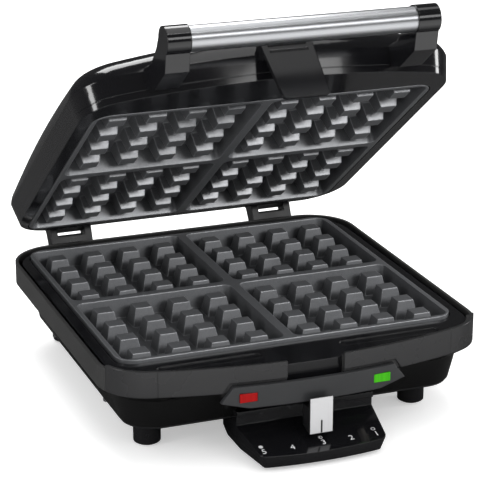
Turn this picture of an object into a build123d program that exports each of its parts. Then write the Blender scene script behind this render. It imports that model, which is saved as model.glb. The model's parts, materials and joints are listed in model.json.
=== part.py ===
from build123d import *
import math
import os

# Square waffle maker with a hinged lid, in millimetres. X runs along the hinge, -Y is the front, Z is up.
# The origin is on the table, below the middle of the machine's depth.
# Lid pieces are drawn with the lid shut, and swing open about the hinge pins when they are written.

# Baking plates
plate_width = 260.0
plate_depth = 246.0
plate_corner = 14.0
plate_floor = 3.0
plate_draft = 8.0
rim_width = 3.5
divider_width = 7.0
well_depth = 15.0
well_corner = 6.0
studs_per_side = 4
stud_end_gap = 4.0
stud_gap_x = 17.15
stud_gap_y = 16.5
stud_below_rim = 1.0
stud_draft = 12.0
parting_height = 72.0
parting_gap = 0.6
plate_clearance = 1.0
plate_boss_radius = 6.0

# Housing of the base
belt_side_border = 15.0
belt_rear_border = 12.0
belt_front_border = 29.5
belt_corner = 38.0
bow_radius = 430.0
bow_height = 15.0
bow_span_share = 0.7725
belt_bottom = 54.5
side_rim_height = 71.5
housing_wall = 2.5
tub_side_step = 12.0
tub_rear_step = 11.0
tub_front_step = 9.5
tub_corner = 30.0
tub_top = 47.0
tub_bottom = 25.5
tub_lean = 5.0
flange_width = 9.0
flange_thickness = 2.5
seam_gap = 0.3

# Front fascia and the deck round the lower plate
fascia_top = 74.0
fascia_wall = 2.5
fascia_end_step = 24.5
notch_half_width = 21.6
notch_bottom = 56.0
deck_height = 69.5
deck_thickness = 2.5
deck_groove_depth = 1.0
deck_groove_width = 9.0
deck_groove_inner = 30.0
deck_groove_outer = 108.0
deck_groove_set = 13.5
notch_lip_drop = 13.0

# Bottom cover and feet
cover_thickness = 2.0
cover_inset = 1.5
foot_side_set = 28.3
foot_end_set = 20.0
foot_radius = 10.0
foot_pad_radius = 7.5
foot_pad_thickness = 2.0
foot_pad_recess = 1.0
post_radius = 6.0
screw_radius = 1.75
screw_head_radius = 3.5
screw_head_height = 2.2
screw_clearance = 0.1

# Heating
element_radius = 3.3
element_side_set = 34.0
element_end_set = 31.0
element_bend = 26.0
element_mouth = 30.0
reflector_thickness = 0.8
reflector_gap = 11.0
reflector_inset = 8.0
reflector_lip = 8.0
stud_hold = 7.0

# Control section
bezel_half_top = 61.0
bezel_half_tip = 70.0
bezel_half_bottom = 50.0
bezel_top = 59.5
bezel_tip = 48.0
bezel_groove = 2.2
bezel_bottom = 43.0
bezel_proud = 2.6
bezel_seat = 1.0
lamp_x = 50.7
lamp_height = 51.2
lamp_width = 13.0
lamp_tall = 6.6
lens_clearance = 0.15
lens_proud = 0.5
lens_depth = 8.0
neon_radius = 2.8
neon_length = 14.0
shelf_half_width = 52.5
shelf_half_front = 47.5
shelf_bow = 4.0
shelf_front = 189.0
shelf_front_lean = 20.0
shelf_rear = 118.0
shelf_bottom = 3.0
shelf_front_top = 12.2
shelf_back = 147.0
shelf_back_height = 21.6
shelf_wall_top = 32.5
shelf_corner = 6.0
shelf_wall = 2.5
ledge_inner = 19.0
ledge_proud = 2.2
ledge_height = 4.0

# Browning lever and thermostat
pivot_y = 0.0
lever_width = 9.0
lever_thickness = 2.4
lever_height = 35.6
lever_hub_radius = 8.0
shaft_radius = 3.0
shaft_clearance = 0.05
knob_width = 17.5
knob_front = 176.7
knob_back = 163.5
knob_top = 47.5
knob_lip = 1.5
knob_shoulder = 40.0
knob_plate_thickness = 1.0
knob_plate_inset = 0.3
knob_clearance = 5.6
thermostat_radius = 13.0
thermostat_height = 10.0
slot_half_width = 50.0
slot_bottom = 33.5
slot_top = 40.5

# Lid, drawn shut
lid_open_angle = 36.4
hinge_y = 149.5
hinge_height = 83.8
lid_side_step = 1.0
lid_rear_step = 2.0
lid_bow_step = 0.5
lid_corner = 37.0
lid_rim_inset = 4.0
lid_rim_height = 5.0
lid_flare_height = 90.0
lid_top = 117.0
lid_dome_rise = 8.0
lid_edge_round = 20.0
lid_wall = 2.5
standoff_top = 109.0

# Tab at the middle of the lid's front
tab_half_top = 19.5
tab_half_bottom = 17.0
tab_top_y = 174.0
tab_top_height = 98.0
tab_bottom_y = 190.5
tab_bottom_height = 48.0
tab_thickness = 3.5
tab_root_height = 86.0
tab_corner = 3.0
tab_rib_half = 14.0
tab_rib_drop = 5.0
tab_rib_proud = 1.0

# Handle
handle_y = 208.0
handle_height = 90.0
tube_radius = 9.0
tube_wall = 1.5
tube_hold = 6.5
bracket_inner = 82.5
bracket_width = 17.0
bracket_wall = 1.0
elbow_forward = 10.0
elbow_drop = 19.5
elbow_back = 38.0
arm_root_top = 2.0
arm_dip_back = 32.0
arm_dip = 2.0
arm_rise_back = 16.0
socket_clearance = 0.05
rod_radius = 3.0
rod_hold = 7.0
bracket_screw_height = 86.0
bracket_screw_spread = 4.5
bracket_screw_hold = 15.0
bracket_screw_set = 18.0

# Hinges
hinge_x = 88.0
knuckle_width = 22.0
knuckle_radius = 8.0
ear_thickness = 6.0
ear_radius = 8.5
pin_radius = 3.0
pin_clearance = 0.05
hinge_side_gap = 0.4
hinge_foot_thickness = 3.0
hinge_foot_bottom = 55.0
hinge_foot_top = 71.0
pin_head_radius = 4.5
pin_head_thickness = 1.2
hinge_screw_height = 61.5
hinge_screw_spread = 5.5
arm_bottom = 79.0
arm_top = 92.0
arm_screw_seat = 128.0
arm_screw_hold = 9.0

# Cord gland
gland_x = 60.0
gland_height = 36.5
gland_radius = 8.0
gland_clearance = 0.1
gland_flange = 9.5
gland_flange_thickness = 3.0
gland_bore = 3.8
gland_length = 8.0

# Wiring pieces
block_width = 24.0
block_depth = 14.0
block_height = 10.0
block_y = 95.0
block_chamfer = 1.0
fuse_radius = 2.5
fuse_length = 12.0
fuse_x = -40.0

# Places worked out from the sizes above
belt_half_width = plate_width / 2 + belt_side_border
belt_rear = plate_depth / 2 + belt_rear_border
belt_front = plate_depth / 2 + belt_front_border
bow_half_span = bow_span_share * belt_half_width
fascia_end = belt_front - fascia_end_step
tub_half_width = belt_half_width - tub_side_step
tub_rear = belt_rear - tub_rear_step
tub_front = belt_front - tub_front_step
foot_x = tub_half_width - foot_side_set
foot_y = tub_rear - foot_end_set
element_reach_x = plate_width / 2 - element_side_set
element_reach_y = plate_depth / 2 - element_end_set
tube_half_length = bracket_inner + tube_hold
bracket_outer = bracket_inner + bracket_width
hinge_reach = hinge_y + ear_radius
mid_y = (shelf_front - hinge_reach) / 2
upper_rim = parting_height + parting_gap
plate_underside = parting_height - well_depth - plate_floor
upper_back = upper_rim + well_depth + plate_floor
well_width = (plate_width - 2 * rim_width - divider_width) / 2
well_length = (plate_depth - 2 * rim_width - divider_width) / 2
well_x = (well_width + divider_width) / 2
well_y = (well_length + divider_width) / 2
reflector_height = plate_underside - reflector_gap
cover_height = tub_bottom - cover_thickness
belt_apex = belt_front + bow_height
plate_boss_x = well_x
plate_boss_y = well_y
stud_pitch_x = (well_width - stud_end_gap) / studs_per_side
stud_pitch_y = (well_length - stud_end_gap) / studs_per_side
stud_tip_width = stud_pitch_x - stud_gap_x
stud_tip_depth = stud_pitch_y - stud_gap_y
lid_half_width = belt_half_width - lid_side_step
lid_rear = belt_rear - lid_rear_step
lid_apex = belt_apex + lid_bow_step
lid_shoulder = lid_apex - bow_radius + math.sqrt(bow_radius**2 - lid_half_width**2)
lid_dome_radius = lid_half_width**2 / (2 * lid_dome_rise) + lid_dome_rise / 2
hinge_axis = Location((0, mid_y + hinge_y, hinge_height))
lid_open = hinge_axis * Location((0, 0, 0), (-lid_open_angle, 0, 0)) * hinge_axis.inverse()

os.makedirs("parts", exist_ok=True)


def level(height, x=0.0, y=0.0):
    """A horizontal plane at a height, centred on the baking plates."""
    return Plane(origin=(x, mid_y + y, height))


def upright(y, x=0.0, height=0.0):
    """A vertical plane across the machine, facing the front, with its x to the right and its y up."""
    return Plane(origin=(x, mid_y + y, height), x_dir=(1, 0, 0), z_dir=(0, -1, 0))


def side(x):
    """A vertical plane from front to back at one x: its x runs to the back and its y runs up."""
    return Plane(origin=(x, mid_y, 0), x_dir=(0, 1, 0), z_dir=(1, 0, 0))


def rounded_outline(half_width, front, rear, corner, mode=Mode.ADD):
    """A rounded rectangle about the middle of the plates, in the sketch that is open."""
    with Locations((0, (rear - front) / 2)):
        RectangleRounded(2 * half_width, front + rear, corner, mode=mode)


def bow_face(inset=0.0, mode=Mode.ADD):
    """The forward bow of the belt, as a face with an arc at its front."""
    half_angle = math.asin(bow_half_span / bow_radius)
    reach = bow_radius - inset
    middle_y = bow_radius - belt_apex
    end_x = reach * math.sin(half_angle)
    end_y = middle_y - reach * math.cos(half_angle)
    back_y = -belt_front + belt_corner
    with BuildLine() as edge:
        ThreePointArc((-end_x, end_y), (0, middle_y - reach), (end_x, end_y))
        Polyline((end_x, end_y), (end_x, back_y), (-end_x, back_y), (-end_x, end_y))
    make_face(edge.edges(), mode=mode)


def belt_outline(inset=0.0, mode=Mode.ADD):
    """The belt's outline: a rounded rectangle whose front bows forward."""
    corner = belt_corner - inset
    rounded_outline(belt_half_width - inset, belt_front - inset, belt_rear - inset, corner, mode)
    bow_face(inset, mode)


def tub_outline(height, inset=0.0, mode=Mode.ADD):
    """The tub's outline at a height: it leans in towards its bottom edge."""
    lean = inset + tub_lean * (tub_top - height) / (tub_top - tub_bottom)
    rounded_outline(tub_half_width - lean, tub_front - lean, tub_rear - lean, tub_corner - lean, mode)


def plate_outline(grow=0.0, mode=Mode.ADD):
    """The baking plates' outline."""
    RectangleRounded(plate_width + 2 * grow, plate_depth + 2 * grow, plate_corner + grow, mode=mode)


def lid_outline(height, inset=0.0, mode=Mode.ADD):
    """The lid's outline at a height: its front is bowed, and it flares out from its rim to its dome."""
    share = (lid_flare_height - height) / (lid_flare_height - upper_rim)
    lean = inset + lid_rim_inset * max(share, 0)
    half_width = lid_half_width - lean
    shoulder = -lid_shoulder + lean
    rear = lid_rear - lean
    with BuildLine() as edge:
        ThreePointArc((-half_width, shoulder), (0, -lid_apex + lean), (half_width, shoulder))
        Polyline((half_width, shoulder), (half_width, rear), (-half_width, rear), (-half_width, shoulder))
        fillet(edge.vertices(), lid_corner - lean)
    make_face(edge.edges(), mode=mode)


def bezel_face(grow=0.0):
    """The bezel's front view: a long bar whose ends come to blunt points."""
    with BuildLine() as edge:
        Polyline(
            (-bezel_half_bottom - grow, bezel_bottom - grow),
            (bezel_half_bottom + grow, bezel_bottom - grow),
            (bezel_half_tip + grow, bezel_tip),
            (bezel_half_top + grow, bezel_top + grow),
            (-bezel_half_top - grow, bezel_top + grow),
            (-bezel_half_tip - grow, bezel_tip),
            close=True,
        )
    make_face(edge.edges())


def side_face(points, mode=Mode.ADD):
    """A face in a side view, from its corners."""
    with BuildLine() as edge:
        Polyline(*points, close=True)
    make_face(edge.edges(), mode=mode)


def housing_form(inset):
    """The housing's outer form, or the space inside it when it is inset."""
    with BuildPart() as form:
        with BuildSketch(level(tub_bottom)):
            tub_outline(tub_bottom, inset)
        with BuildSketch(level(tub_top)):
            tub_outline(tub_top, inset)
        loft()
        with BuildSketch(level(tub_top)):
            tub_outline(tub_top, inset)
        with BuildSketch(level(belt_bottom)):
            corner = belt_corner - inset
            rounded_outline(belt_half_width - inset, belt_front - inset, belt_rear - inset, corner)
        loft()
        with BuildSketch(level(belt_bottom)):
            belt_outline(inset)
        extrude(amount=side_rim_height - belt_bottom)
    return form.part


def lid_form(inset, top):
    """The lid's outer form, or the space inside it when it is inset."""
    foot = upper_rim + lid_rim_height
    with BuildPart() as form:
        with BuildSketch(level(foot)):
            lid_outline(foot, inset)
        with BuildSketch(level(lid_flare_height)):
            lid_outline(lid_flare_height, inset)
        loft()
        with BuildSketch(level(lid_flare_height)):
            lid_outline(lid_flare_height, inset)
        extrude(amount=top - lid_flare_height)
        with Locations((0, mid_y + (lid_rear - lid_apex) / 2, top - lid_dome_radius)):
            Sphere(lid_dome_radius, mode=Mode.INTERSECT)
        crest = form.faces().sort_by(Axis.Z)[-1]
        fillet(crest.edges(), lid_edge_round - inset)
    return form.part


def housing_space():
    """The space inside the housing, which leaves a set-back wall behind the fascia."""
    setback = fascia_wall + seam_gap + housing_wall
    low = belt_bottom - seam_gap - housing_wall
    with BuildPart() as space:
        add(housing_form(housing_wall))
        with BuildSketch(level(low)):
            with Locations((0, -fascia_end + housing_wall - belt_half_width)):
                Rectangle(4 * belt_half_width, 2 * belt_half_width)
            belt_outline(setback, Mode.SUBTRACT)
        extrude(amount=side_rim_height - low, mode=Mode.SUBTRACT)
    return space.part


def along_bow(low, high, proud, depth):
    """A band that follows the belt's outline, from proud of it to a depth inside it."""
    with BuildPart() as band:
        with BuildSketch(level(low)):
            belt_outline(-proud)
            belt_outline(depth, Mode.SUBTRACT)
        extrude(amount=high - low)
        add(across_front(fascia_end, low, high), mode=Mode.INTERSECT)
    return band.part


def across_front(back, low, high):
    """A block that holds everything in front of a line across the machine."""
    with BuildPart() as block:
        with BuildSketch(level(low)):
            with Locations((0, -back - belt_half_width)):
                Rectangle(4 * belt_half_width, 2 * belt_half_width)
        extrude(amount=high - low)
    return block.part


def post(radius, low, high, places):
    """Like round posts, one at each place."""
    with BuildPart() as posts:
        for x, y in places:
            with BuildSketch(level(low, x, y)):
                Circle(radius)
            extrude(amount=high - low)
    return posts.part


def screws(places, face, length, head_down=True):
    """A group of like pan-head screws against a face, one at each place, with their shanks along Z."""
    up = 1 if head_down else -1
    with BuildPart() as group:
        for x, y in places:
            with BuildSketch(level(face, x, y)):
                Circle(screw_head_radius)
            extrude(amount=-up * screw_head_height)
            with BuildSketch(level(face, x, y)):
                Circle(screw_radius)
            extrude(amount=up * length)
    return group


def four_corners(x, y):
    """Four places, mirrored left to right and front to back."""
    return [(-x, -y), (x, -y), (-x, y), (x, y)]


def paired(middle, spread, height):
    """Screw places in an upright plane: two side by side at the left, and two at the right."""
    return [(end * middle + step, height) for end in (-1, 1) for step in (-spread, spread)]


def level_screws(places, face, length, towards_front):
    """A group of like pan-head screws against an upright face, with their shanks along Y."""
    way = 1 if towards_front else -1
    with BuildPart() as group:
        for x, height in places:
            with BuildSketch(upright(face, x, height)):
                Circle(screw_head_radius)
            extrude(amount=-way * screw_head_height)
            with BuildSketch(upright(face, x, height)):
                Circle(screw_radius)
            extrude(amount=way * length)
    return group


def write(piece, name, place=Location()):
    """Labels a finished piece and writes it, with lid pieces swung open."""
    piece.part.label = name
    export_step(piece.part.moved(place), f"parts/{name}.step")


# Front fascia: a band round the front of the belt, notched for the lid's tab and recessed for the bezel
band_start = fascia_end + seam_gap
with BuildPart() as bezel_pocket:
    add(along_bow(belt_bottom - seam_gap, fascia_top, bezel_proud, bezel_seat + seam_gap))
    with BuildSketch(upright(-belt_front)):
        bezel_face(bezel_groove)
    extrude(amount=belt_front, both=True, mode=Mode.INTERSECT)

with BuildPart() as front_fascia:
    with BuildSketch(level(belt_bottom)):
        belt_outline()
        belt_outline(fascia_wall, Mode.SUBTRACT)
    extrude(amount=fascia_top - belt_bottom)
    add(across_front(band_start, belt_bottom, fascia_top), mode=Mode.INTERSECT)
    with BuildSketch(upright(-belt_apex)):
        with Locations((0, notch_bottom + belt_half_width / 2)):
            Rectangle(2 * notch_half_width, belt_half_width)
    extrude(amount=belt_front, both=True, mode=Mode.SUBTRACT)
    add(bezel_pocket.part, mode=Mode.SUBTRACT)
    with BuildSketch(upright(-belt_front)):
        with Locations((-lamp_x, lamp_height), (lamp_x, lamp_height)):
            Rectangle(lamp_width, lamp_tall)
    extrude(amount=2 * bow_height, both=True, mode=Mode.SUBTRACT)
write(front_fascia, "front_fascia")

# Base housing: tub, flare and belt in one moulding, with the belt set back behind the fascia
housing_bottom_x = tub_half_width - tub_lean - flange_width
housing_bottom_y = tub_front + tub_rear - 2 * (tub_lean + flange_width)
cover_screw_x = housing_bottom_x + flange_width / 2
cover_screw_places = [(x, y) for x in (-cover_screw_x, cover_screw_x) for y in (-tub_front / 2, tub_rear / 2)]
hinge_screw_places = paired(hinge_x, hinge_screw_spread, hinge_screw_height)
with BuildPart() as base_housing:
    add(housing_form(0))
    with BuildSketch(level(belt_bottom - seam_gap)):
        belt_outline(-seam_gap)
        belt_outline(fascia_wall + seam_gap, Mode.SUBTRACT)
        with Locations((0, belt_half_width - fascia_end)):
            Rectangle(4 * belt_half_width, 2 * belt_half_width, mode=Mode.SUBTRACT)
    extrude(amount=fascia_top - belt_bottom + seam_gap, mode=Mode.SUBTRACT)
    add(housing_space(), mode=Mode.SUBTRACT)
    with BuildSketch(level(tub_bottom)):
        tub_outline(tub_bottom, housing_wall / 2)
        with Locations((0, (tub_rear - tub_front) / 2)):
            Rectangle(2 * housing_bottom_x, housing_bottom_y, mode=Mode.SUBTRACT)
    extrude(amount=flange_thickness)
    for x, y in cover_screw_places:
        with Locations(level(tub_bottom, x, y)):
            Hole(screw_radius + screw_clearance, flange_thickness * 2)
    with BuildSketch(upright(-tub_front)):
        with Locations((0, (slot_bottom + slot_top) / 2)):
            Rectangle(2 * slot_half_width, slot_top - slot_bottom)
    extrude(amount=2 * housing_wall + tub_lean, both=True, mode=Mode.SUBTRACT)
    with BuildSketch(upright(-tub_front)):
        with Locations((-lamp_x, lamp_height), (lamp_x, lamp_height)):
            Rectangle(lamp_width, lamp_tall)
    extrude(amount=belt_front - tub_front + bow_height, both=True, mode=Mode.SUBTRACT)
    with BuildSketch(upright(-belt_front)):
        with Locations((0, notch_bottom + belt_half_width / 2)):
            Rectangle(2 * notch_half_width, belt_half_width)
    extrude(amount=bow_height, both=True, mode=Mode.SUBTRACT)
    with BuildSketch(upright(tub_rear)):
        with Locations((gland_x, gland_height)):
            Circle(gland_radius)
    extrude(amount=gland_length, both=True, mode=Mode.SUBTRACT)
    with BuildSketch(upright(belt_rear)):
        with Locations(*hinge_screw_places):
            Circle(screw_radius)
    extrude(amount=2 * housing_wall, both=True, mode=Mode.SUBTRACT)
write(base_housing, "base_housing")

# Deck: the level frame between the lower plate and the belt, with a long groove on each side of the notch
deck_fit = fascia_wall + 2 * seam_gap + housing_wall
with BuildPart() as notch_lip:
    with BuildSketch(level(deck_height - notch_lip_drop)):
        belt_outline(deck_fit)
        belt_outline(deck_fit + deck_thickness, Mode.SUBTRACT)
    extrude(amount=notch_lip_drop)
    with BuildSketch(upright(-belt_apex)):
        with Locations((0, deck_height)):
            Rectangle(2 * (notch_half_width + deck_thickness), 2 * notch_lip_drop)
    extrude(amount=-belt_corner, mode=Mode.INTERSECT)
deck_groove_back = belt_front - deck_groove_set
with BuildPart() as base_deck:
    with BuildSketch(level(deck_height - deck_thickness)):
        belt_outline(deck_fit)
        plate_outline(plate_clearance, Mode.SUBTRACT)
    extrude(amount=deck_thickness)
    add(notch_lip.part)
    with BuildSketch(level(deck_height)):
        groove_middle = (deck_groove_inner + deck_groove_outer) / 2
        groove_length = deck_groove_outer - deck_groove_inner
        with Locations((-groove_middle, -deck_groove_back), (groove_middle, -deck_groove_back)):
            SlotOverall(groove_length, deck_groove_width)
    extrude(amount=-deck_groove_depth, mode=Mode.SUBTRACT)
write(base_deck, "base_deck")

# Bottom cover, with four posts that carry the reflector and the lower plate
post_places = four_corners(plate_boss_x, plate_boss_y)
foot_places = four_corners(foot_x, foot_y)
with BuildPart() as bottom_cover:
    with BuildSketch(level(cover_height)):
        tub_outline(tub_bottom, cover_inset)
    extrude(amount=cover_thickness)
    add(post(post_radius, tub_bottom, reflector_height, post_places))
    with BuildSketch(level(cover_height)):
        for x, y in cover_screw_places + foot_places:
            with Locations((x, y)):
                Circle(screw_radius + screw_clearance)
    extrude(amount=cover_thickness, mode=Mode.SUBTRACT)
    with BuildSketch(level(cover_height)):
        for x, y in post_places:
            with Locations((x, y)):
                Circle(screw_radius + screw_clearance)
    extrude(amount=reflector_height - cover_height, mode=Mode.SUBTRACT)
write(bottom_cover, "bottom_cover")
write(screws(cover_screw_places, cover_height, cover_thickness + flange_thickness), "bottom_cover_screws")

# Feet: short round legs, each with a soft pad under it and a screw up into the cover
foot_names = ["front_left", "front_right", "rear_left", "rear_right"]
foot_well = screw_head_height + foot_pad_thickness
for name, (x, y) in zip(foot_names, foot_places):
    with BuildPart() as foot:
        with BuildSketch(level(foot_pad_recess, x, y)):
            Circle(foot_radius)
        extrude(amount=cover_height - foot_pad_recess)
        fillet(foot.faces().sort_by(Axis.Z)[0].edges(), foot_pad_recess)
        with BuildSketch(level(foot_pad_recess, x, y)):
            Circle(foot_pad_radius)
        extrude(amount=foot_pad_thickness - foot_pad_recess, mode=Mode.SUBTRACT)
        with BuildSketch(level(foot_pad_recess, x, y)):
            Circle(screw_head_radius + screw_clearance)
        extrude(amount=foot_well, mode=Mode.SUBTRACT)
        with BuildSketch(level(foot_pad_recess, x, y)):
            Circle(screw_radius + screw_clearance)
        extrude(amount=cover_height, mode=Mode.SUBTRACT)
    write(foot, f"foot_{name}")
with BuildPart() as foot_pads:
    add(post(foot_pad_radius, 0, foot_pad_thickness, foot_places))
write(foot_pads, "foot_pads")
foot_screw_face = foot_pad_recess + foot_well
write(screws(foot_places, foot_screw_face, cover_height + cover_thickness - foot_screw_face), "foot_screws")


# Baking plates: a shallow tray with two by two wells, each with a grid of tapered studs
def baking_plate():
    """The lower plate: its rim is at the parting height and its wells open upwards."""
    floor = parting_height - well_depth
    stud_height = well_depth - stud_below_rim
    stud_spread = stud_height * math.tan(math.radians(stud_draft))
    with BuildPart() as plate:
        with BuildSketch(level(plate_underside)):
            plate_outline(-rim_width / 2)
        extrude(amount=parting_height - plate_underside - rim_width)
        with BuildSketch(level(parting_height - rim_width)):
            plate_outline()
        extrude(amount=rim_width)
        with BuildSketch(level(parting_height)):
            with GridLocations(2 * well_x, 2 * well_y, 2, 2):
                RectangleRounded(well_width, well_length, well_corner)
        extrude(amount=-well_depth, taper=plate_draft, mode=Mode.SUBTRACT)
        with BuildSketch(level(floor)):
            with GridLocations(2 * well_x, 2 * well_y, 2, 2):
                with GridLocations(stud_pitch_x, stud_pitch_y, studs_per_side, studs_per_side):
                    Rectangle(stud_tip_width + 2 * stud_spread, stud_tip_depth + 2 * stud_spread)
        extrude(amount=stud_height, taper=stud_draft)
        add(post(plate_boss_radius, reflector_height + reflector_thickness, plate_underside, post_places))
        for x, y in post_places:
            with BuildSketch(level(reflector_height, x, y)):
                Circle(screw_radius + screw_clearance)
            extrude(amount=plate_underside - reflector_height + plate_floor / 2, mode=Mode.SUBTRACT)
    return plate.part


lower_part = baking_plate()
with BuildPart() as lower_plate:
    add(lower_part)
write(lower_plate, "lower_grid_plate")

with BuildPart() as upper_plate:
    add(lower_part)
    mirror(about=level(parting_height + parting_gap / 2), mode=Mode.REPLACE)
write(upper_plate, "upper_grid_plate", lid_open)


# Heating elements: one bent tube pressed against the back of each plate
def element_tube(height):
    """A tubular element bent into a loop that is open at the front, at one height."""
    corners = [
        (-element_mouth, -element_reach_y, 0),
        (-element_reach_x, -element_reach_y, 0),
        (-element_reach_x, element_reach_y, 0),
        (element_reach_x, element_reach_y, 0),
        (element_reach_x, -element_reach_y, 0),
        (element_mouth, -element_reach_y, 0),
    ]
    with BuildPart() as tube:
        with BuildLine(level(height)) as route:
            FilletPolyline(*corners, radius=element_bend)
        with BuildSketch(Plane(origin=route.line @ 0, z_dir=route.line % 0)):
            Circle(element_radius)
        sweep(path=route.line)
    return tube.part


with BuildPart() as lower_element:
    add(element_tube(plate_underside - element_radius))
write(lower_element, "lower_heating_element")
with BuildPart() as upper_element:
    add(element_tube(upper_back + element_radius))
write(upper_element, "upper_heating_element", lid_open)


# Reflectors: shallow steel pans that turn the heat back to the plates
def reflector_pan(thermostat_hole):
    """The lower pan, with clearance holes for the plate's screws and, if asked for, for the thermostat."""
    with BuildPart() as pan:
        with BuildSketch(level(reflector_height)):
            plate_outline(-reflector_inset)
        extrude(amount=reflector_lip)
        with BuildSketch(level(reflector_height + reflector_thickness)):
            plate_outline(-reflector_inset - reflector_thickness)
        extrude(amount=reflector_lip - reflector_thickness, mode=Mode.SUBTRACT)
        with BuildSketch(level(reflector_height)):
            for x, y in post_places:
                with Locations((x, y)):
                    Circle(screw_radius + screw_clearance)
            if thermostat_hole:
                with Locations((0, pivot_y)):
                    Circle(thermostat_radius + plate_clearance)
        extrude(amount=reflector_thickness, mode=Mode.SUBTRACT)
    return pan.part


upper_pan_plane = level(parting_height + parting_gap / 2)
with BuildPart() as lower_reflector:
    add(reflector_pan(True))
write(lower_reflector, "lower_reflector")
with BuildPart() as upper_reflector:
    add(reflector_pan(False))
    mirror(about=upper_pan_plane, mode=Mode.REPLACE)
write(upper_reflector, "upper_reflector", lid_open)

# Screws that hold the lower plate to the cover's posts, and studs for the upper plate in the lid's standoffs
lower_grip = plate_underside + plate_floor / 2
with BuildPart() as lower_plate_screws:
    add(screws(post_places, cover_height, lower_grip - cover_height).part)
write(lower_plate_screws, "lower_plate_screws")
with BuildPart() as upper_plate_studs:
    add(post(screw_radius, reflector_height - stud_hold, lower_grip, post_places))
    mirror(about=upper_pan_plane, mode=Mode.REPLACE)
write(upper_plate_studs, "upper_plate_studs", lid_open)

# Thermostat on the back of the lower plate, its shaft pointing down to the browning lever
thermostat_bottom = plate_underside - thermostat_height
with BuildPart() as thermostat_body:
    with BuildSketch(level(thermostat_bottom, 0, pivot_y)):
        Circle(thermostat_radius)
    extrude(amount=thermostat_height)
    with BuildSketch(level(thermostat_bottom, 0, pivot_y)):
        Circle(shaft_radius + shaft_clearance)
    extrude(amount=thermostat_height / 2, mode=Mode.SUBTRACT)
    with BuildSketch(level(plate_underside - reflector_thickness, 0, pivot_y)):
        SlotOverall(4 * thermostat_radius, thermostat_radius)
        Circle(thermostat_radius, mode=Mode.SUBTRACT)
    extrude(amount=reflector_thickness)
write(thermostat_body, "thermostat_body")

with BuildPart() as thermostat_shaft:
    with BuildSketch(level(lever_height, 0, pivot_y)):
        Circle(shaft_radius)
    extrude(amount=thermostat_bottom + thermostat_height / 2 - shaft_clearance - lever_height)
write(thermostat_shaft, "thermostat_shaft")

# Browning lever: a flat arm on the thermostat's shaft, and the block on its end that the user pushes
arm_end = knob_back + (knob_front - knob_back) / 2
with BuildPart() as lever_arm:
    with BuildSketch(level(lever_height, 0, pivot_y)):
        Circle(lever_hub_radius)
        with Locations((0, -(arm_end + pivot_y) / 2)):
            Rectangle(lever_width, arm_end + pivot_y)
        Circle(shaft_radius, mode=Mode.SUBTRACT)
    extrude(amount=lever_thickness)
write(lever_arm, "browning_lever_arm")

shelf_slope = (shelf_back_height - shelf_front_top) / (shelf_front - shelf_back)


def shelf_top_at(y):
    """The height of the control shelf's sloping top at a distance in front of the plates' middle."""
    return shelf_front_top + shelf_slope * (shelf_front - y)


with BuildPart() as lever_knob:
    with BuildSketch(side(-knob_width / 2)):
        side_face([
            (-knob_front, shelf_top_at(knob_front) + knob_clearance),
            (-knob_front, knob_top),
            (-knob_front + knob_lip, knob_top),
            (-knob_front + knob_lip, knob_shoulder),
            (-knob_back, knob_shoulder),
            (-knob_back, shelf_top_at(knob_back) + knob_clearance),
        ])
    extrude(amount=knob_width)
    with BuildSketch(level(lever_height, 0, pivot_y)):
        with Locations((0, -(arm_end + pivot_y) / 2)):
            Rectangle(lever_width, arm_end + pivot_y)
    extrude(amount=lever_thickness, mode=Mode.SUBTRACT)
write(lever_knob, "browning_lever_knob")
plate_bottom = shelf_top_at(knob_front) + knob_clearance + knob_plate_inset
with BuildPart() as lever_plate:
    with BuildSketch(upright(-knob_front)):
        with Locations((0, (plate_bottom + knob_top) / 2)):
            Rectangle(knob_width - 2 * knob_plate_inset, knob_top - plate_bottom)
    extrude(amount=knob_plate_thickness)
    fillet(lever_plate.faces().sort_by(Axis.Y)[0].edges(), knob_plate_inset)
write(lever_plate, "browning_lever_plate")

# Control shelf: a hollow box hung in front of the tub, with a sloping top for the settings
tub_run = tub_lean / (tub_top - tub_bottom)


def tub_face_at(height):
    """The distance of the tub's front face before the plates' middle at a height."""
    return tub_front - tub_run * (tub_top - height)


def shelf_plan():
    """The shelf's plan: its sides close in towards a bowed front."""
    shoulder = shelf_front - shelf_bow
    with BuildLine() as edge:
        ThreePointArc((-shelf_half_front, -shoulder), (0, -shelf_front), (shelf_half_front, -shoulder))
        Polyline(
            (shelf_half_front, -shoulder),
            (shelf_half_width, -shelf_back),
            (shelf_half_width, -shelf_rear),
            (-shelf_half_width, -shelf_rear),
            (-shelf_half_width, -shelf_back),
            (-shelf_half_front, -shoulder),
        )
        fillet(edge.vertices().group_by(Axis.Y)[0], shelf_corner)
    make_face(edge.edges())


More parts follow.
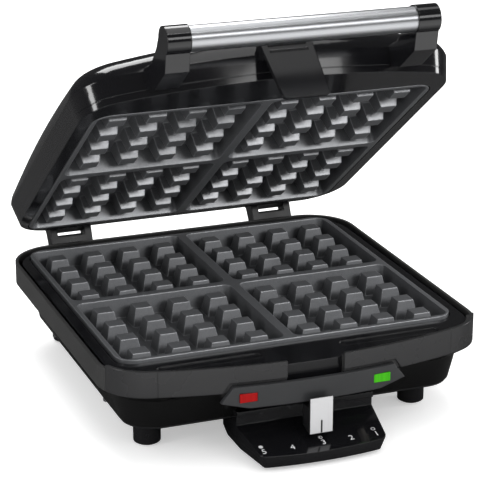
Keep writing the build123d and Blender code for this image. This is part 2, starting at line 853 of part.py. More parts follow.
with BuildPart() as shelf_block:
    with BuildSketch(level(shelf_front_top)):
        shelf_plan()
    extrude(amount=shelf_wall_top - shelf_front_top)
    with BuildSketch(level(shelf_front_top)):
        shelf_plan()
    extrude(amount=-(shelf_front_top - shelf_bottom), taper=shelf_front_lean)
with BuildPart() as control_shelf:
    with BuildSketch(side(-2 * shelf_half_width)):
        side_face([
            (-shelf_rear - shelf_wall, shelf_bottom),
            (-shelf_front, shelf_bottom),
            (-shelf_front, shelf_front_top),
            (-shelf_back, shelf_back_height),
            (-shelf_back, shelf_wall_top),
            (-tub_face_at(shelf_wall_top) - seam_gap, shelf_wall_top),
            (-tub_face_at(tub_bottom) - seam_gap, cover_height - seam_gap),
            (-shelf_rear - shelf_wall, cover_height - seam_gap),
        ])
    extrude(amount=4 * shelf_half_width)
    add(shelf_block.part, mode=Mode.INTERSECT)
    for end in (-1, 1):
        with BuildSketch(level(shelf_wall_top - ledge_height)):
            with Locations((end * (ledge_inner + shelf_half_width) / 2, -shelf_back - ledge_proud / 2)):
                Rectangle(shelf_half_width - ledge_inner, ledge_proud)
        extrude(amount=ledge_height)
    with BuildSketch(side(-shelf_half_front + 2 * shelf_wall)):
        side_face([
            (-shelf_rear - 3 * shelf_wall, shelf_bottom + shelf_wall),
            (-shelf_front + 4 * shelf_wall, shelf_bottom + shelf_wall),
            (-shelf_front + 4 * shelf_wall, shelf_front_top - shelf_wall),
            (-shelf_back, shelf_back_height - shelf_wall),
            (-shelf_rear - 3 * shelf_wall, cover_height - 2 * shelf_wall),
        ])
    extrude(amount=2 * (shelf_half_front - 2 * shelf_wall), mode=Mode.SUBTRACT)
write(control_shelf, "control_shelf")

# Control bezel with its two lamp windows, and the lamps
window_places = ((-lamp_x, lamp_height), (lamp_x, lamp_height))
with BuildPart() as control_bezel:
    add(along_bow(bezel_bottom, bezel_top, bezel_proud, bezel_seat))
    with BuildSketch(upright(-belt_front)):
        bezel_face()
    extrude(amount=belt_front, both=True, mode=Mode.INTERSECT)
    with BuildSketch(upright(-belt_front)):
        with Locations(*window_places):
            Rectangle(lamp_width, lamp_tall)
    extrude(amount=2 * bow_height, both=True, mode=Mode.SUBTRACT)
write(control_bezel, "control_bezel")

lamp_front = belt_apex - bow_radius + math.sqrt(bow_radius**2 - lamp_x**2) + bezel_proud + lens_proud
for name, x in (("heating_lamp_lens", -lamp_x), ("ready_lamp_lens", lamp_x)):
    with BuildPart() as lens:
        with BuildSketch(upright(-lamp_front, x)):
            with Locations((0, lamp_height)):
                Rectangle(lamp_width - 2 * lens_clearance, lamp_tall - 2 * lens_clearance)
        extrude(amount=-lens_depth)
        fillet(lens.faces().sort_by(Axis.Y)[0].edges(), lens_clearance)
    write(lens, name)
with BuildPart() as neon_lamps:
    for x in (-lamp_x, lamp_x):
        with BuildSketch(upright(-lamp_front + lens_depth, x)):
            with Locations((0, lamp_height)):
                Circle(neon_radius)
        extrude(amount=-neon_length)
write(neon_lamps, "neon_lamps")

# Lid rim: the moulded ring round the upper plate, with a tongue that clips up inside the cover
lid_foot = upper_rim + lid_rim_height
with BuildPart() as lid_rim:
    with BuildSketch(level(upper_rim)):
        lid_outline(upper_rim)
    with BuildSketch(level(lid_foot)):
        lid_outline(lid_foot)
    loft()
    with BuildSketch(level(lid_foot)):
        lid_outline(lid_foot, lid_wall)
        lid_outline(lid_foot, 2 * lid_wall, Mode.SUBTRACT)
    extrude(amount=lid_rim_height / 2)
    with BuildSketch(level(upper_rim)):
        plate_outline(plate_clearance)
    extrude(amount=2 * lid_rim_height, mode=Mode.SUBTRACT)
write(lid_rim, "lid_rim", lid_open)

# Lid cover: the domed shell, and inside it four standoffs down to the back of the upper reflector
upper_pan_back = 2 * parting_height + parting_gap - reflector_height
bracket_root = lid_apex - bow_height
bracket_middle = (bracket_inner + bracket_outer) / 2
handle_screw_places = paired(bracket_middle, bracket_screw_spread, bracket_screw_height)
arm_screw_places = paired(hinge_x, hinge_screw_spread, bracket_screw_height)
with BuildPart() as lid_cover:
    add(lid_form(0, lid_top))
    add(lid_form(lid_wall, lid_top - lid_wall), mode=Mode.SUBTRACT)
    with BuildSketch(upright(-bracket_root)):
        with Locations(*handle_screw_places):
            Circle(screw_radius)
    extrude(amount=4 * lid_wall, both=True, mode=Mode.SUBTRACT)
    with BuildSketch(upright(lid_rear)):
        with Locations(*arm_screw_places):
            Circle(screw_radius)
    extrude(amount=2 * lid_wall, both=True, mode=Mode.SUBTRACT)
write(lid_cover, "lid_cover", lid_open)
with BuildPart() as lid_standoffs:
    add(post(post_radius, upper_pan_back, standoff_top, post_places))
    add(post(screw_radius, upper_pan_back, upper_pan_back + stud_hold, post_places), mode=Mode.SUBTRACT)
write(lid_standoffs, "lid_standoffs", lid_open)

# Tab at the middle of the lid's front, which drops over the fascia's notch
tab_reach = tab_bottom_y - tab_top_y
tab_drop = tab_top_height - tab_bottom_height
with BuildPart() as front_tab:
    with BuildSketch(side(-tab_half_top)):
        side_face([
            (-lid_apex + 2 * lid_wall, tab_top_height),
            (-tab_top_y, tab_top_height),
            (-tab_bottom_y, tab_bottom_height),
            (-tab_bottom_y + tab_thickness, tab_bottom_height),
            (-lid_apex - 2 * tab_thickness, tab_root_height),
            (-lid_apex + 2 * lid_wall, tab_root_height),
        ])
    extrude(amount=2 * tab_half_top)
    with BuildSketch(upright(-tab_bottom_y)):
        with BuildLine():
            Polyline(
                (-tab_half_bottom, tab_bottom_height),
                (tab_half_bottom, tab_bottom_height),
                (tab_half_top, tab_top_height),
                (-tab_half_top, tab_top_height),
                close=True,
            )
        make_face()
        fillet(vertices().group_by(Axis.Z)[0], tab_corner)
    extrude(amount=tab_bottom_y, both=True, mode=Mode.INTERSECT)
    for row in (1, 2):
        drop = row * tab_rib_drop
        rib_y = -tab_top_y - tab_reach * drop / tab_drop
        with BuildSketch(side(-tab_rib_half)):
            with Locations((rib_y, tab_top_height - drop)):
                Circle(tab_rib_proud)
        extrude(amount=2 * tab_rib_half)
    add(lid_form(0, lid_top), mode=Mode.SUBTRACT)
write(front_tab, "lid_front_tab", lid_open)

# Handle: a metal tube between two elbow brackets on the lid's front, with a rod through it
for name, side_x in (("left", -1), ("right", 1)):
    with BuildPart() as bracket:
        with BuildSketch(side(min(side_x * bracket_inner, side_x * bracket_outer))):
            side_face([
                (-handle_y - tube_radius - bracket_wall, handle_height),
                (-handle_y + elbow_forward, handle_height - elbow_drop),
                (-handle_y + elbow_back, handle_height - elbow_drop),
                (-bracket_root, lid_foot + seam_gap),
                (-bracket_root, handle_height + arm_root_top),
                (-handle_y + arm_dip_back, handle_height - arm_dip),
                (-handle_y + arm_rise_back, handle_height + arm_root_top),
                (-handle_y, handle_height + tube_radius + bracket_wall),
            ])
            with Locations((-handle_y, handle_height)):
                Circle(tube_radius + bracket_wall)
        extrude(amount=bracket_outer - bracket_inner)
        with BuildSketch(side(side_x * bracket_inner)):
            with Locations((-handle_y, handle_height)):
                Circle(tube_radius + socket_clearance)
        extrude(amount=side_x * (tube_half_length - bracket_inner + socket_clearance), mode=Mode.SUBTRACT)
        with BuildSketch(side(side_x * tube_half_length)):
            with Locations((-handle_y, handle_height)):
                Circle(rod_radius + socket_clearance)
        extrude(amount=side_x * (rod_hold + socket_clearance), mode=Mode.SUBTRACT)
        add(lid_form(0, lid_top), mode=Mode.SUBTRACT)
        add(lid_rim.part, mode=Mode.SUBTRACT)
        with BuildSketch(upright(-bracket_root)):
            with Locations(*handle_screw_places):
                Circle(screw_radius)
        extrude(amount=bracket_screw_hold, both=True, mode=Mode.SUBTRACT)
    write(bracket, f"handle_bracket_{name}", lid_open)

with BuildPart() as handle_tube:
    with BuildSketch(side(-tube_half_length)):
        with Locations((-handle_y, handle_height)):
            Circle(tube_radius)
            Circle(tube_radius - tube_wall, mode=Mode.SUBTRACT)
    extrude(amount=2 * tube_half_length)
write(handle_tube, "handle_tube", lid_open)
with BuildPart() as handle_rod:
    with BuildSketch(side(-tube_half_length - rod_hold)):
        with Locations((-handle_y, handle_height)):
            Circle(rod_radius)
    extrude(amount=2 * (tube_half_length + rod_hold))
write(handle_rod, "handle_rod", lid_open)
bracket_screw_seat = lid_apex - bracket_screw_set
bracket_screws = level_screws(handle_screw_places, -bracket_screw_seat, bracket_screw_hold, True)
write(bracket_screws, "handle_bracket_screws", lid_open)

# Hinges: an arm on the lid turns between two ears of a bracket on the base, about a headed pin
for name, side_x in (("left", -1), ("right", 1)):
    with BuildPart() as arm:
        with BuildSketch(side(side_x * hinge_x - knuckle_width / 2)):
            side_face([
                (lid_rear - 2 * lid_wall, arm_bottom),
                (hinge_y, hinge_height - knuckle_radius),
                (hinge_y, hinge_height + knuckle_radius),
                (lid_rear - 2 * lid_wall, arm_top),
            ])
            with Locations((hinge_y, hinge_height)):
                Circle(knuckle_radius)
                Circle(pin_radius + pin_clearance, mode=Mode.SUBTRACT)
        extrude(amount=knuckle_width)
        add(lid_form(0, lid_top), mode=Mode.SUBTRACT)
        with BuildSketch(upright(lid_rear)):
            with Locations(*arm_screw_places):
                Circle(screw_radius)
        extrude(amount=arm_screw_hold / 2, both=True, mode=Mode.SUBTRACT)
    write(arm, f"lid_hinge_arm_{name}", lid_open)
arm_screw_reach = lid_rear + arm_screw_hold / 2 - arm_screw_seat
arm_screws = level_screws(arm_screw_places, arm_screw_seat, arm_screw_reach, False)
write(arm_screws, "lid_hinge_screws", lid_open)

ear_inner = knuckle_width / 2 + hinge_side_gap
ear_outer = ear_inner + ear_thickness
for name, side_x in (("left", -1), ("right", 1)):
    with BuildPart() as hinge_bracket:
        with BuildSketch(side(side_x * hinge_x - ear_outer)):
            side_face([
                (belt_rear, hinge_foot_bottom),
                (belt_rear + hinge_foot_thickness, hinge_foot_bottom),
                (hinge_y + ear_radius, hinge_height),
                (hinge_y - ear_radius, hinge_height),
                (belt_rear, hinge_foot_top),
            ])
            with Locations((hinge_y, hinge_height)):
                Circle(ear_radius)
                Circle(pin_radius, mode=Mode.SUBTRACT)
        extrude(amount=2 * ear_outer)
        with BuildSketch(side(side_x * hinge_x - ear_inner)):
            with Locations((belt_rear + hinge_foot_thickness + belt_rear / 2, hinge_height)):
                Rectangle(belt_rear, belt_rear)
            with Locations((hinge_y, hinge_height)):
                Circle(ear_radius + hinge_side_gap)
        extrude(amount=2 * ear_inner, mode=Mode.SUBTRACT)
        with BuildSketch(upright(belt_rear)):
            with Locations(*hinge_screw_places):
                Circle(screw_radius + screw_clearance)
        extrude(amount=hinge_foot_thickness, both=True, mode=Mode.SUBTRACT)
    write(hinge_bracket, f"hinge_bracket_{name}")

with BuildPart() as hinge_pins:
    for side_x in (-1, 1):
        with BuildSketch(side(side_x * hinge_x - ear_outer)):
            with Locations((hinge_y, hinge_height)):
                Circle(pin_radius)
        extrude(amount=2 * ear_outer)
        with BuildSketch(side(side_x * (hinge_x + ear_outer))):
            with Locations((hinge_y, hinge_height)):
                Circle(pin_head_radius)
        extrude(amount=side_x * pin_head_thickness)
write(hinge_pins, "hinge_pins")
hinge_screw_reach = hinge_foot_thickness + housing_wall
hinge_screws = level_screws(hinge_screw_places, belt_rear + hinge_foot_thickness, hinge_screw_reach, True)
write(hinge_screws, "hinge_bracket_screws")

# Cord gland in the rear wall, and the wiring pieces inside
with BuildPart() as cord_gland:
    with BuildSketch(upright(tub_rear, gland_x, gland_height)):
        Circle(gland_radius - gland_clearance)
        Circle(gland_bore, mode=Mode.SUBTRACT)
    extrude(amount=gland_length)
    with BuildSketch(upright(tub_rear, gland_x, gland_height)):
        Circle(gland_flange)
        Circle(gland_bore, mode=Mode.SUBTRACT)
    extrude(amount=-gland_flange_thickness)
write(cord_gland, "cord_gland")
with BuildPart() as terminal_block:
    with BuildSketch(level(tub_bottom, gland_x, block_y)):
        Rectangle(block_width, block_depth)
    extrude(amount=block_height)
    chamfer(terminal_block.faces().sort_by(Axis.Z)[-1].edges(), block_chamfer)
    with BuildSketch(upright(block_y + block_depth / 2, gland_x, tub_bottom)):
        with Locations((-block_width / 4, block_height / 2), (block_width / 4, block_height / 2)):
            Circle(screw_radius)
    extrude(amount=block_depth, mode=Mode.SUBTRACT)
write(terminal_block, "terminal_block")
with BuildPart() as thermal_fuse:
    with BuildSketch(side(fuse_x - fuse_length / 2)):
        with Locations((0, plate_underside - fuse_radius)):
            Circle(fuse_radius)
    extrude(amount=fuse_length)
    fillet(thermal_fuse.edges(), fuse_radius / 4)
write(thermal_fuse, "thermal_fuse")
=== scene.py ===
import bpy
import json
import math
from mathutils import Euler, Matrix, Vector


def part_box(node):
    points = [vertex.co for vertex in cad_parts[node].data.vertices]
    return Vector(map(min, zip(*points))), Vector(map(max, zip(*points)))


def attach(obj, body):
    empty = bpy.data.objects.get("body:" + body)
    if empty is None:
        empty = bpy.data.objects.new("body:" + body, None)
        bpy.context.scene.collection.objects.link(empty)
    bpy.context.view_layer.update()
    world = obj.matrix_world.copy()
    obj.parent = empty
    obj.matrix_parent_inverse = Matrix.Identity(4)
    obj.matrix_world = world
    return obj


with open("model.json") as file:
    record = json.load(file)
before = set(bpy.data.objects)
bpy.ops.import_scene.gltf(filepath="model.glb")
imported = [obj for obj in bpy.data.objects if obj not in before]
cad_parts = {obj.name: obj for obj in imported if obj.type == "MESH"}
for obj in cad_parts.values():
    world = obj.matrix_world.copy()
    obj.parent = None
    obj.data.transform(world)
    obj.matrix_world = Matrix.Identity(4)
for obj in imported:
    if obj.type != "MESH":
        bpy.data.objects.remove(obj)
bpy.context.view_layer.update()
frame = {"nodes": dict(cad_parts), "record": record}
nodes = frame["nodes"]

# Places from the CAD source, in metres, measured from the plates' middle
MID_Y = 0.0155
SHELF_FRONT = 0.189
SHELF_BACK = 0.147
SHELF_FRONT_TOP = 0.0122
SHELF_BACK_TOP = 0.0216
SHELF_SLOPE = (SHELF_BACK_TOP - SHELF_FRONT_TOP) / (SHELF_FRONT - SHELF_BACK)
BELT_BOTTOM = 0.0545


# Materials: tones are linear colours, and lengths are metres
BROAD_SCALE = 40.0
FINE_SCALE = 1800.0
METAL_EDGE = 0.0005
METAL_GRAIN = 0.05
HOUSING_EDGE = 0.0012
HOUSING_GRAIN = 0.02
BUMP_DEPTH = 0.0002
BEVEL_SAMPLES = 6


def node_material(name):
    """A new material with its shader and output nodes."""
    made = bpy.data.materials.new(name)
    made.use_nodes = True
    return made, made.node_tree, made.node_tree.nodes["Principled BSDF"]


def flat_grey(tone):
    """A grey with one tone in its three channels."""
    return (tone, tone, tone)


def noise(tree, scale, detail=3.0, stretch=(1.0, 1.0, 1.0)):
    """A noise texture on the object's own coordinates."""
    coords = tree.nodes.new("ShaderNodeTexCoord")
    mapping = tree.nodes.new("ShaderNodeMapping")
    mapping.inputs["Scale"].default_value = stretch
    texture = tree.nodes.new("ShaderNodeTexNoise")
    texture.inputs["Scale"].default_value = scale
    texture.inputs["Detail"].default_value = detail
    tree.links.new(coords.outputs["Object"], mapping.inputs["Vector"])
    tree.links.new(mapping.outputs["Vector"], texture.inputs["Vector"])
    return texture


def ramp(tree, source, low, high):
    """A map of a texture's value to a range."""
    made = tree.nodes.new("ShaderNodeMapRange")
    made.inputs["From Min"].default_value = 0.3
    made.inputs["From Max"].default_value = 0.7
    made.inputs["To Min"].default_value = low
    made.inputs["To Max"].default_value = high
    tree.links.new(source, made.inputs["Value"])
    return made.outputs["Result"]


def colour_mix(tree, factor, first, second):
    """Two colours mixed by a value."""
    made = tree.nodes.new("ShaderNodeMix")
    made.data_type = "RGBA"
    made.inputs["A"].default_value = (*first, 1)
    made.inputs["B"].default_value = (*second, 1)
    tree.links.new(factor, made.inputs["Factor"])
    return made.outputs["Result"]


def rounded_normal(tree, radius):
    """The shading normal with the edges rounded to a radius."""
    bevel = tree.nodes.new("ShaderNodeBevel")
    bevel.samples = BEVEL_SAMPLES
    bevel.inputs["Radius"].default_value = radius
    return bevel.outputs["Normal"]


def soft_normal(tree, radius, bump_source, strength):
    """A normal that rounds the edges, with a fine surface texture on it."""
    bump = tree.nodes.new("ShaderNodeBump")
    bump.inputs["Strength"].default_value = strength
    bump.inputs["Distance"].default_value = BUMP_DEPTH
    tree.links.new(bump_source, bump.inputs["Height"])
    tree.links.new(rounded_normal(tree, radius), bump.inputs["Normal"])
    return bump.outputs["Normal"]


def textured(tree, shader, texture, tones, gloss, edge, grain):
    """Links a shader's colour, roughness and normal, with tones and gloss as low and high pairs."""
    colour, rough, bumps = texture
    tree.links.new(colour_mix(tree, colour.outputs["Fac"], *tones), shader.inputs["Base Color"])
    tree.links.new(ramp(tree, rough.outputs["Fac"], *gloss), shader.inputs["Roughness"])
    tree.links.new(soft_normal(tree, edge, bumps.outputs["Fac"], grain), shader.inputs["Normal"])


def plastic(name, dark, light, gloss, edge=0.0012, grain=0.02, coat=0.0, sheen=0.5):
    """A moulded plastic whose tone and gloss vary slightly over it."""
    made, tree, shader = node_material(name)
    broad = noise(tree, BROAD_SCALE)
    fine = noise(tree, FINE_SCALE, 2.0)
    textured(tree, shader, (broad, broad, fine), (dark, light), gloss, edge, grain)
    shader.inputs["Coat Weight"].default_value = coat
    shader.inputs["Coat Roughness"].default_value = gloss[0] / 2
    shader.inputs["Specular IOR Level"].default_value = sheen
    return made


def banded(name, height, lower, upper):
    """A plastic housing with one look below a height and one above it, each a tone and a roughness."""
    made, tree, shader = node_material(name)
    broad = noise(tree, BROAD_SCALE)
    fine = noise(tree, FINE_SCALE, 2.0)
    coords = tree.nodes.new("ShaderNodeTexCoord")
    parts = tree.nodes.new("ShaderNodeSeparateXYZ")
    above = tree.nodes.new("ShaderNodeMath")
    above.operation = "GREATER_THAN"
    above.inputs[1].default_value = height
    tree.links.new(coords.outputs["Object"], parts.inputs["Vector"])
    tree.links.new(parts.outputs["Z"], above.inputs[0])
    blend = broad.outputs["Fac"]
    low = colour_mix(tree, blend, flat_grey(0.7 * lower[0]), flat_grey(1.3 * lower[0]))
    high = colour_mix(tree, blend, flat_grey(0.85 * upper[0]), flat_grey(1.15 * upper[0]))
    tones = tree.nodes.new("ShaderNodeMix")
    tones.data_type = "RGBA"
    tree.links.new(above.outputs["Value"], tones.inputs["Factor"])
    tree.links.new(low, tones.inputs["A"])
    tree.links.new(high, tones.inputs["B"])
    tree.links.new(tones.outputs["Result"], shader.inputs["Base Color"])
    gloss = tree.nodes.new("ShaderNodeMapRange")
    gloss.inputs["To Min"].default_value = lower[1]
    gloss.inputs["To Max"].default_value = upper[1]
    tree.links.new(above.outputs["Value"], gloss.inputs["Value"])
    tree.links.new(gloss.outputs["Result"], shader.inputs["Roughness"])
    normal = soft_normal(tree, HOUSING_EDGE, fine.outputs["Fac"], HOUSING_GRAIN)
    tree.links.new(normal, shader.inputs["Normal"])
    return made


def metal(name, dark, light, gloss, scale, stretch):
    """A brushed or drawn metal, with its marks along one direction."""
    made, tree, shader = node_material(name)
    marks = noise(tree, scale, 4.0, stretch)
    shader.inputs["Metallic"].default_value = 1.0
    textured(tree, shader, (marks, marks, marks), (dark, light), gloss, METAL_EDGE, METAL_GRAIN)
    return made


def nonstick(name):
    """A grey nonstick coating on cast aluminium, speckled, with a painted highlight along its edges."""
    made, tree, shader = node_material(name)
    speckle = noise(tree, 900.0, 2.0)
    broad = noise(tree, 25.0)
    tone = colour_mix(tree, speckle.outputs["Fac"], (0.065, 0.067, 0.071), (0.115, 0.118, 0.124))
    # Painted highlight: a pale grey is mixed into the colour wherever the rounded normal turns away
    # from the face's own normal, along every plate and stud edge.
    geometry = tree.nodes.new("ShaderNodeNewGeometry")
    dot = tree.nodes.new("ShaderNodeVectorMath")
    dot.operation = "DOT_PRODUCT"
    tree.links.new(rounded_normal(tree, 0.0009), dot.inputs[0])
    tree.links.new(geometry.outputs["Normal"], dot.inputs[1])
    edge = tree.nodes.new("ShaderNodeMapRange")
    edge.inputs["From Min"].default_value = 0.995
    edge.inputs["From Max"].default_value = 0.85
    edge.inputs["To Max"].default_value = 0.35
    tree.links.new(dot.outputs["Value"], edge.inputs["Value"])
    mix = tree.nodes.new("ShaderNodeMix")
    mix.data_type = "RGBA"
    mix.inputs["B"].default_value = (0.45, 0.46, 0.48, 1)
    tree.links.new(edge.outputs["Result"], mix.inputs["Factor"])
    tree.links.new(tone, mix.inputs["A"])
    tree.links.new(mix.outputs["Result"], shader.inputs["Base Color"])
    tree.links.new(ramp(tree, broad.outputs["Fac"], 0.28, 0.36), shader.inputs["Roughness"])
    tree.links.new(soft_normal(tree, 0.0012, speckle.outputs["Fac"], 0.12), shader.inputs["Normal"])
    shader.inputs["Metallic"].default_value = 0.35
    return made


def lens(name, deep, bright):
    """A tinted lamp lens with fine ribs across it."""
    made, tree, shader = node_material(name)
    ribs = noise(tree, 500.0, 1.0, (1.0, 0.2, 0.05))
    textured(tree, shader, (ribs, ribs, ribs), (deep, bright), (0.08, 0.16), 0.0006, 0.25)
    shader.inputs["Specular IOR Level"].default_value = 0.2
    shader.inputs["Emission Color"].default_value = (*bright, 1)
    shader.inputs["Emission Strength"].default_value = 0.35
    return made


looks = {
    "gloss_black": plastic(
        "gloss_black", (0.004, 0.004, 0.005), (0.008, 0.008, 0.009), (0.10, 0.15), coat=0.5
    ),
    "satin_black": plastic(
        "satin_black", (0.008, 0.008, 0.009), (0.014, 0.014, 0.015), (0.26, 0.34)
    ),
    "bezel_grey": plastic(
        "bezel_grey", (0.026, 0.027, 0.029), (0.038, 0.039, 0.041), (0.28, 0.36), grain=0.12
    ),
    "nonstick": nonstick("nonstick"),
    "tube_aluminium": metal(
        "tube_aluminium", (0.50, 0.51, 0.53), (0.62, 0.63, 0.65), (0.26, 0.32), 60.0, (0.05, 8, 8)
    ),
    "steel": metal("steel", (0.48, 0.48, 0.50), (0.62, 0.62, 0.64), (0.25, 0.4), 120.0, (0.3, 3, 3)),
    "element_sheath": metal(
        "element_sheath", (0.20, 0.20, 0.19), (0.36, 0.36, 0.34), (0.4, 0.6), 90.0, (1, 1, 1)
    ),
    "silver_knob": plastic(
        "silver_knob", (0.60, 0.60, 0.61), (0.68, 0.68, 0.69), (0.30, 0.38), edge=0.0008
    ),
    "red_lens": lens("red_lens", (0.15, 0.001, 0.001), (0.32, 0.006, 0.006)),
    "green_lens": lens("green_lens", (0.010, 0.16, 0.003), (0.06, 0.42, 0.010)),
    "lamp_glass": plastic("lamp_glass", (0.75, 0.70, 0.62), (0.88, 0.84, 0.78), (0.05, 0.12)),
    "rubber": plastic("rubber", (0.012, 0.012, 0.012), (0.022, 0.022, 0.022), (0.7, 0.85), grain=0.3),
    "ceramic": plastic("ceramic", (0.76, 0.74, 0.69), (0.88, 0.86, 0.81), (0.45, 0.6)),
}
for row in frame["record"]["subparts"]:
    shown = nodes[row["node"]]
    shown.data.materials.clear()
    shown.data.materials.append(looks[row["material_slot"]])
BELT_TONE = (0.036, 0.3)
TUB_TONE = (0.005, 0.12)
own_looks = {
    "front_fascia": plastic(
        "fascia_satin", (0.022, 0.022, 0.023), (0.030, 0.030, 0.031), (0.24, 0.32)
    ),
    "base_housing": banded("housing_black", BELT_BOTTOM - 0.0005, TUB_TONE, BELT_TONE),
    "base_deck": plastic("deck_black", (0.005, 0.005, 0.006), (0.009, 0.009, 0.010), (0.12, 0.18)),
    "lid_front_tab": plastic(
        "tab_black", (0.007, 0.007, 0.008), (0.012, 0.012, 0.013), (0.2, 0.26), sheen=0.3
    ),
}
for node, look in own_looks.items():
    nodes[node].data.materials[0] = look


# Printed marks on the control shelf, and the pointer line on the lever's plate
MARK_LIFT = 0.00008
MARK_GAP = 0.00006
MARK_ROW = 0.1796
DOT_RADIUS = 0.0016
DOT_HOLE = 0.72 * DOT_RADIUS
DOT_STEP = 0.0056
DOT_POINTS = 28
LETTER = 0.0072
LINE_HALF = 0.0006
LINE_SIDE = 0.0092
LINE_LENGTH = 0.0098
LINE_FOOT = 0.0004
LINE_GAP = 0.00002


def shelf_place(x, y):
    """A point on the shelf's sloping top, with a hair of clearance."""
    return x, MID_Y - y, SHELF_FRONT_TOP + SHELF_SLOPE * (SHELF_FRONT - y) + MARK_GAP


def mesh_object(name, points, faces):
    """A new object in the scene, from points and faces."""
    data = bpy.data.meshes.new(name)
    data.from_pydata(points, [], faces)
    made = bpy.data.objects.new(name, data)
    scene.collection.objects.link(made)
    return made


def printed(name, ends):
    """A thin printed mark from a flat outline of points."""
    count = len(ends)
    low = [(x, y, 0) for x, y in ends]
    high = [(x, y, MARK_LIFT) for x, y in ends]
    sides = [(k, (k + 1) % count, (k + 1) % count + count, k + count) for k in range(count)]
    bottom = tuple(range(count))[::-1]
    top = tuple(range(count, 2 * count))
    return mesh_object(name, low + high, [bottom, top, *sides])


def circle_points(radius):
    """Points round a circle."""
    turns = [2 * math.pi * k / DOT_POINTS for k in range(DOT_POINTS)]
    return [(radius * math.cos(t), radius * math.sin(t)) for t in turns]


def ring(name):
    """A thin printed ring."""
    circles = circle_points(DOT_RADIUS) + circle_points(DOT_HOLE)
    points = [(x, y, z) for z in (0, MARK_LIFT) for x, y in circles]
    count = DOT_POINTS
    faces = []
    for k in range(count):
        n = (k + 1) % count
        faces.append((k, n, n + count, k + count))
        faces.append((k + 2 * count, k + 3 * count, n + 3 * count, n + 2 * count))
        faces.append((k, k + 2 * count, n + 2 * count, n))
        faces.append((k + count, n + count, n + 3 * count, k + 3 * count))
    return mesh_object(name, points, faces)


scene = bpy.context.scene
ink = plastic("printed_grey", (0.60, 0.60, 0.61), (0.75, 0.75, 0.76), (0.5, 0.6), edge=0.0001)
dark_ink = plastic(
    "printed_dark", (0.010, 0.010, 0.011), (0.02, 0.02, 0.021), (0.5, 0.6), edge=0.0001
)
slope_turn = Euler((math.atan(SHELF_SLOPE), 0, 0))
for digit, x in (("5", -0.0440), ("4", -0.0226), ("3", 0.0010), ("2", 0.0222), ("1", 0.0418)):
    font = bpy.data.curves.new(f"setting_{digit}", "FONT")
    font.body = digit
    font.size = LETTER
    font.align_x = "CENTER"
    font.align_y = "CENTER"
    font.extrude = MARK_LIFT
    text = bpy.data.objects.new(f"setting_{digit}", font)
    scene.collection.objects.link(text)
    text.data.materials.append(ink)
    text.location = shelf_place(x, MARK_ROW)
    text.rotation_euler = slope_turn
    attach(text, "base")
full_dot = circle_points(DOT_RADIUS)
half_dot = [point for point in full_dot if point[0] <= 0.0001]
for name, x, kind in (("dark", -0.0444, "full"), ("medium", 0.0006, "half"), ("light", 0.0414, "open")):
    if kind == "full":
        marks = [printed(f"dot_{name}", full_dot)]
    else:
        marks = [ring(f"dot_{name}")]
        if kind == "half":
            marks.append(printed("dot_medium_half", half_dot))
    for mark in marks:
        mark.data.materials.append(ink)
        mark.location = shelf_place(x, MARK_ROW - DOT_STEP)
        mark.rotation_euler = slope_turn
        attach(mark, "base")
low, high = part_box("browning_lever_plate")
line = [
    (-LINE_HALF, 0),
    (LINE_HALF, 0),
    (LINE_HALF, LINE_SIDE),
    (0, LINE_LENGTH),
    (-LINE_HALF, LINE_SIDE),
]
pointer = printed("lever_pointer_line", line)
pointer.location = ((low[0] + high[0]) / 2, low[1] - LINE_GAP, low[2] + LINE_FOOT)
pointer.rotation_euler = Euler((math.radians(90), 0, 0))
pointer.data.materials.append(dark_ink)
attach(pointer, "browning_lever")


# Stage: a pale floor, a white surround, and soft lights
def area_light(name, place, target, size, power):
    """A rectangular soft light that faces a target."""
    data = bpy.data.lights.new(name, "AREA")
    data.shape = "RECTANGLE"
    data.size, data.size_y = size
    data.energy = power
    lamp = bpy.data.objects.new(name, data)
    scene.collection.objects.link(lamp)
    lamp.location = place
    lamp.rotation_euler = (Vector(target) - Vector(place)).to_track_quat("-Z", "Y").to_euler()
    return lamp


scene.view_settings.view_transform = "Standard"
WORLD_DIFFUSE = 0.85
WORLD_GLOSSY = 0.05
world = bpy.data.worlds.new("studio")
scene.world = world
world.use_nodes = True
sky = world.node_tree
background = sky.nodes["Background"]
background.inputs["Color"].default_value = (1, 1, 1, 1)
path = sky.nodes.new("ShaderNodeLightPath")
dim = sky.nodes.new("ShaderNodeMapRange")
dim.inputs["To Min"].default_value = WORLD_DIFFUSE
dim.inputs["To Max"].default_value = WORLD_GLOSSY
sky.links.new(path.outputs["Is Glossy Ray"], dim.inputs["Value"])
strength = sky.nodes.new("ShaderNodeMapRange")
strength.inputs["To Max"].default_value = 1.0
sky.links.new(dim.outputs["Result"], strength.inputs["To Min"])
sky.links.new(path.outputs["Is Camera Ray"], strength.inputs["Value"])
sky.links.new(strength.outputs["Result"], background.inputs["Strength"])

# The floor: glossy surfaces see it bright only in front of the machine, and the camera sees it whiter
FLOOR_SIZE = 8
GLOSSY_DARK_Y = -0.15
GLOSSY_BRIGHT_Y = -0.45
FLOOR_GLOW = 0.4
bpy.ops.mesh.primitive_plane_add(size=FLOOR_SIZE, location=(0, 0, 0))
floor = bpy.context.object
floor.name = "floor"
floor_look, tree, shader = node_material("floor")
tint = noise(tree, 3.0)
pale = colour_mix(tree, tint.outputs["Fac"], flat_grey(0.90), flat_grey(0.94))
place = tree.nodes.new("ShaderNodeTexCoord")
place_parts = tree.nodes.new("ShaderNodeSeparateXYZ")
front = tree.nodes.new("ShaderNodeMapRange")
front.inputs["From Min"].default_value = GLOSSY_DARK_Y
front.inputs["From Max"].default_value = GLOSSY_BRIGHT_Y
tree.links.new(place.outputs["Object"], place_parts.inputs["Vector"])
tree.links.new(place_parts.outputs["Y"], front.inputs["Value"])
reflected = colour_mix(tree, front.outputs["Result"], flat_grey(0.06), flat_grey(0.85))
floor_path = tree.nodes.new("ShaderNodeLightPath")
floor_mix = tree.nodes.new("ShaderNodeMix")
floor_mix.data_type = "RGBA"
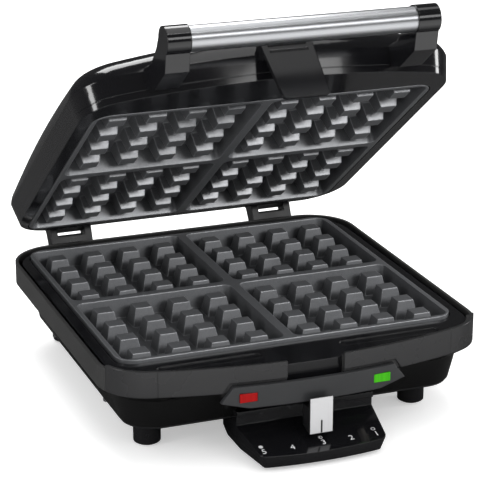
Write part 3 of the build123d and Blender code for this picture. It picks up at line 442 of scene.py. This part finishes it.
tree.links.new(floor_path.outputs["Is Glossy Ray"], floor_mix.inputs["Factor"])
tree.links.new(pale, floor_mix.inputs["A"])
tree.links.new(reflected, floor_mix.inputs["B"])
tree.links.new(floor_mix.outputs["Result"], shader.inputs["Base Color"])
glow = tree.nodes.new("ShaderNodeMath")
glow.operation = "MULTIPLY"
glow.inputs[1].default_value = FLOOR_GLOW
tree.links.new(floor_path.outputs["Is Camera Ray"], glow.inputs[0])
tree.links.new(glow.outputs["Value"], shader.inputs["Emission Strength"])
shader.inputs["Emission Color"].default_value = (1, 1, 1, 1)
shader.inputs["Roughness"].default_value = 0.8
shader.inputs["Specular IOR Level"].default_value = 0.1
floor.data.materials.append(floor_look)

area_light("left_strip", (-1.5, -0.3, 0.45), (0, 0, 0.08), (0.25, 1.0), 6)
front_box = ((0.75, -1.75, 1.05), (0, 0, 0.2), (1.0, 0.5))
area_light("front_box", *front_box, 5)
area_light("top_box", (0.0, 0.95, 1.7), (0, 0, 0.1), (1.4, 0.8), 22)
area_light("sky_box", (0.35, -0.2, 1.9), (0, 0, 0.2), (1.5, 0.9), 5)
area_light("handle_strip", (0.3, -1.0, 1.75), (0, -0.1, 0.3), (1.0, 0.06), 1.2)
area_light("right_strip", (1.5, -0.2, 0.5), (0, 0, 0.1), (0.25, 0.8), 5)

# A second light in the front box's place shines on the two plates only
plate_light = area_light("plate_box", *front_box, 50)
plates = bpy.data.collections.new("plates_lit")
for node in ("upper_grid_plate", "lower_grid_plate"):
    plates.objects.link(nodes[node])
plate_light.light_linking.receiver_collection = plates

# Camera at the photograph's place
camera_data = bpy.data.cameras.new("camera")
camera = bpy.data.objects.new("camera", camera_data)
scene.collection.objects.link(camera)
scene.camera = camera
camera_data.lens = 148.4
camera_data.sensor_width = 36
camera.location = (-0.5082, -1.3399 + MID_Y, 0.6048)
aim = (Vector((0.00671, MID_Y, 0.1055)) - camera.location).to_track_quat("-Z", "Y")
camera.rotation_euler = aim.to_euler()
camera.rotation_euler.rotate_axis("Z", math.radians(0.1))
